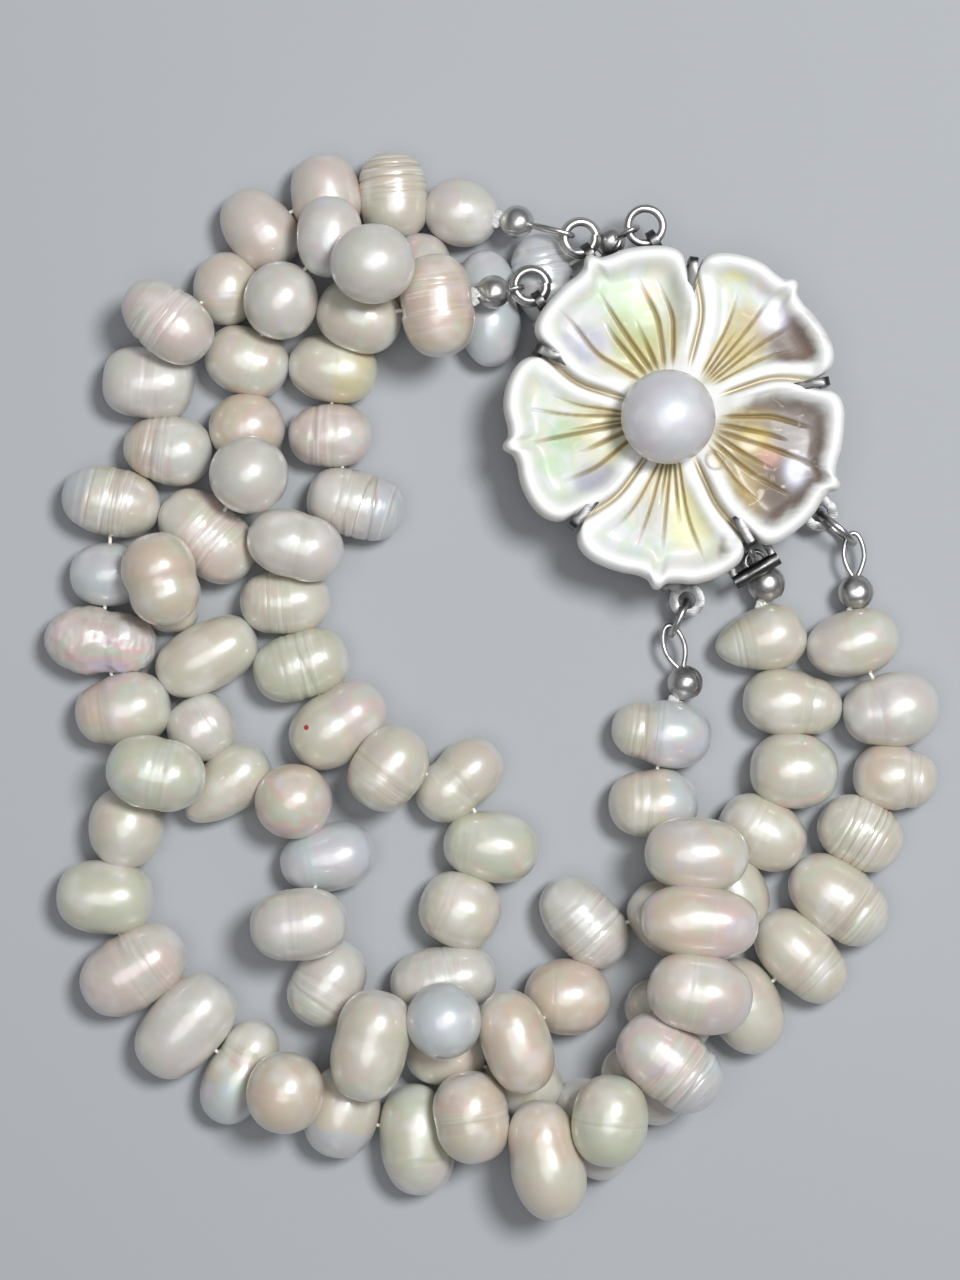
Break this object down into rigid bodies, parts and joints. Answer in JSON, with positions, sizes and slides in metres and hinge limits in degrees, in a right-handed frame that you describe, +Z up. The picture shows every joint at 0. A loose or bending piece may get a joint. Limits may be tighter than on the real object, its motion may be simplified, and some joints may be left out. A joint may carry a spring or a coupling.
{
  "type": "pearl bracelet",
  "caption": "Three strings of baroque freshwater pearls, lying loosely in a loop, joined by a carved mother-of-pearl flower clasp with a round pearl at its centre.",
  "frame": {"origin": "centre of the bracelet's plan box, on the surface it lies on", "axes": "+Z up from the surface; the clasp flower lies towards +X +Y, and +Y is the long way of the loop as it lies"},
  "size_m": [0.0746, 0.0882, 0.0148],
  "materials": {
    "pearl": "satin to glossy cream nacre with pink, green and blue overtones",
    "grey_pearl": "satin greyish white nacre",
    "shell": "polished carved mother-of-pearl, golden in the engraved lines",
    "steel": "worn silver-grey plated metal"
  },
  "bodies": {
    "root": {"clasp_setting": "steel", "clasp_tongue": "steel", "clasp_flower": "shell", "centre_pearl": "grey_pearl", "jump_ring_a1": "steel", "jump_ring_b1": "steel", "jump_ring_c1": "steel", "jump_ring_a2": "steel", "jump_ring_b2": "steel", "jump_ring_c2": "steel", "bead_tip_a1": "steel", "bead_tip_b1": "steel", "bead_tip_c1": "steel", "bead_tip_a2": "steel", "bead_tip_b2": "steel", "bead_tip_c2": "steel", "strand_a_1": "pearl", "strand_a_2": "pearl", "strand_a_3": "pearl", "strand_a_4": "pearl", "strand_a_5": "pearl", "strand_b_1": "pearl", "strand_b_2": "pearl", "strand_b_3": "pearl", "strand_b_4": "pearl", "strand_b_5": "pearl", "strand_c_1": "pearl", "strand_c_2": "pearl", "strand_c_3": "pearl", "strand_c_4": "pearl", "strand_c_5": "pearl"}
  },
  "joints": []
}
